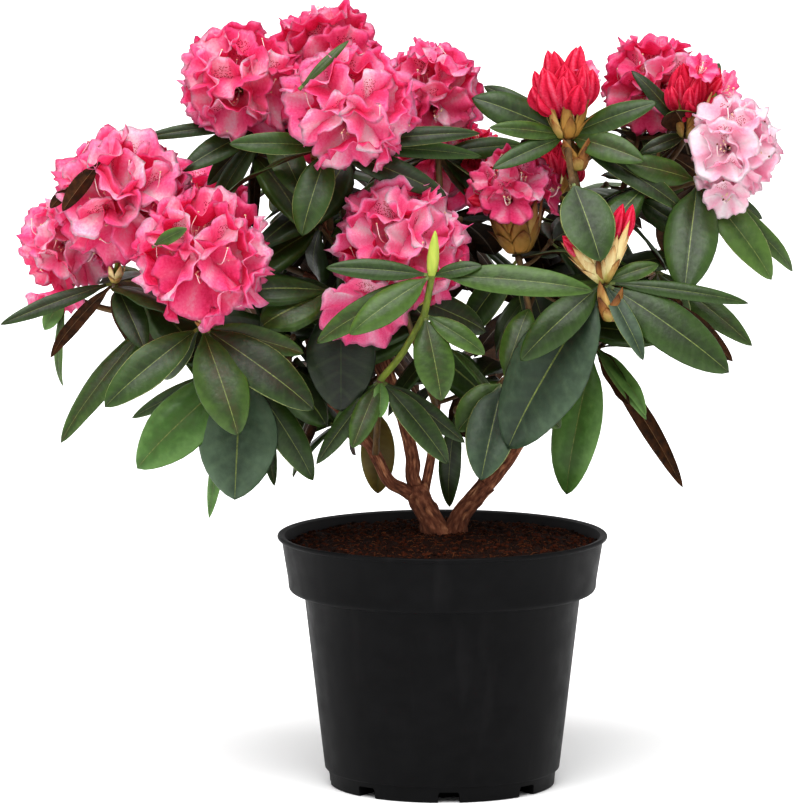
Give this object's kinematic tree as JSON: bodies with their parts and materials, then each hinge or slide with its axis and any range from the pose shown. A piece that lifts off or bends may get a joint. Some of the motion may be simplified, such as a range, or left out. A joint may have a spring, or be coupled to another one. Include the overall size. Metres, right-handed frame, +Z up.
{
  "type": "potted rhododendron",
  "caption": "Evergreen flowering shrub in a round black nursery pot: forked stem, whorls of long leaves and ball-shaped pink flower clusters.",
  "frame": {"origin": "centre of the pot's flat underside, on the ground it stands on", "axes": "+Z up along the pot's axis, -Y towards the front of the plant, +X to the right as seen from the front"},
  "size_m": [0.55, 0.3512, 0.5401],
  "materials": {
    "pot_plastic": "satin",
    "compost": "matte",
    "bark": "matte",
    "foliage": "satin"
  },
  "bodies": {
    "root": {"pot": "pot_plastic", "soil": "compost", "trunk": "bark", "bough_left": "bark", "bough_middle": "bark", "bough_centre": "bark", "bough_right": "bark", "bough_right_high": "bark", "bough_back_left": "bark", "bough_back_right": "bark", "mass_left": "foliage", "mass_left_front": "foliage", "mass_top_left": "foliage", "mass_top_front": "foliage", "mass_top_back": "foliage", "mass_top_right": "foliage", "mass_centre": "foliage", "mass_front": "foliage", "mass_middle_right": "foliage", "mass_right_top": "foliage", "mass_right_back": "foliage", "mass_right_crown": "foliage", "mass_right_edge": "foliage", "mass_right_middle": "foliage", "mass_low_right": "foliage", "mass_low_middle": "foliage", "mass_back_left": "foliage", "mass_back_high": "foliage", "mass_back_centre": "foliage", "mass_back_right": "foliage", "mass_back_edge": "foliage", "mass_back_low": "foliage", "mass_back_foot": "foliage"}
  },
  "joints": []
}
